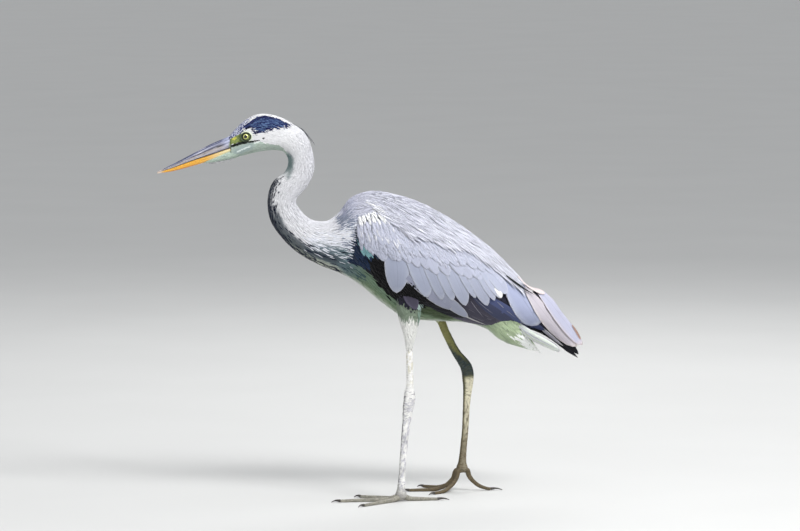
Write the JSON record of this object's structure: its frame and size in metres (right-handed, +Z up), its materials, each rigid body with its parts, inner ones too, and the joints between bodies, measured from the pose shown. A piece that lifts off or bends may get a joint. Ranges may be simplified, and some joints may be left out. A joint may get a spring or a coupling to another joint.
{
  "type": "grey heron",
  "caption": "Still, life-size grey heron standing with its neck in a loose S and its right heel lifted, in separate head, neck, trunk, wing, leg and toe solids.",
  "frame": {"origin": "on the floor under the middle of the bounding box, so that the floor is at z = 0", "axes": "the bird faces -X, its left side is towards -Y and +Z is up; the XZ plane is the plane of symmetry of head, neck, trunk, wings and tail"},
  "size_m": [0.672, 0.2006, 0.6031],
  "materials": {
    "plumage": "matt feather",
    "wing_plumage": "matt feather",
    "bill": "satin horn",
    "eye": "wet gloss",
    "leg_scale": "matt scales",
    "claw": "satin horn"
  },
  "bodies": {
    "root": {"head": "plumage", "bill_upper": "bill", "bill_lower": "bill", "eye_left": "eye", "eye_right": "eye", "crest": "plumage", "neck_upper": "plumage", "neck_middle": "plumage", "neck_lower": "plumage", "trunk": "plumage", "wing_left": "wing_plumage", "wing_right": "wing_plumage", "tail": "wing_plumage", "thigh_left": "plumage", "thigh_right": "plumage", "shank_left": "leg_scale", "shank_right": "leg_scale", "tarsus_left": "leg_scale", "tarsus_right": "leg_scale", "toe_inner_left": "leg_scale", "toe_middle_left": "leg_scale", "toe_outer_left": "leg_scale", "toe_hind_left": "leg_scale", "toe_inner_right": "leg_scale", "toe_middle_right": "leg_scale", "toe_outer_right": "leg_scale", "toe_hind_right": "leg_scale", "claw_inner_left": "claw", "claw_middle_left": "claw", "claw_outer_left": "claw", "claw_hind_left": "claw", "claw_inner_right": "claw", "claw_middle_right": "claw", "claw_outer_right": "claw", "claw_hind_right": "claw"}
  },
  "joints": []
}
